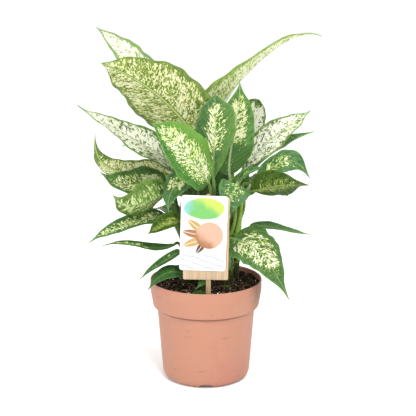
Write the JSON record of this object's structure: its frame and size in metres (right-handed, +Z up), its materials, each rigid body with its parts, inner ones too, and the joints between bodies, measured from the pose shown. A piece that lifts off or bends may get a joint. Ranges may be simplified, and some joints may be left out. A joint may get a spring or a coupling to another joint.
{
  "type": "potted dieffenbachia",
  "caption": "Bushy variegated foliage plant with broad pointed leaves on ringed canes, in a round tapered nursery pot of soil with an upright plant label.",
  "frame": {"origin": "centre of the pot's flat underside, on the surface it stands on", "axes": "+Z up along the pot's axis, +X to the right of the side with the label, +Y away from that side"},
  "size_m": [0.2536, 0.1901, 0.3716],
  "materials": {
    "pot": "satin",
    "soil": "matte",
    "cane": "satin",
    "leaf": "satin",
    "label_wood": "matte",
    "label_board": "matte",
    "label_card": "satin"
  },
  "bodies": {
    "root": {"pot": "pot", "soil": "soil", "label_stick": "label_wood", "label_board": "label_board", "label_card": "label_card", "cane_left": "cane", "cane_right": "cane", "cane_back": "cane", "cane_front": "cane", "cane_rear_right": "cane", "leaf_01": "leaf", "leaf_02": "leaf", "leaf_03": "leaf", "leaf_04": "leaf", "leaf_05": "leaf", "leaf_06": "leaf", "leaf_07": "leaf", "leaf_08": "leaf", "leaf_09": "leaf", "leaf_10": "leaf", "leaf_11": "leaf", "leaf_12": "leaf", "leaf_13": "leaf", "leaf_14": "leaf", "leaf_15": "leaf", "leaf_16": "leaf", "leaf_17": "leaf", "leaf_18": "leaf", "leaf_19": "leaf", "leaf_20": "leaf", "leaf_21": "leaf", "leaf_22": "leaf", "leaf_23": "leaf", "leaf_24": "leaf", "leaf_25": "leaf", "leaf_26": "leaf", "leaf_27": "leaf", "leaf_28": "leaf", "leaf_29": "leaf", "leaf_30": "leaf", "leaf_31": "leaf", "leaf_32": "leaf", "leaf_33": "leaf", "leaf_34": "leaf"}
  },
  "joints": []
}
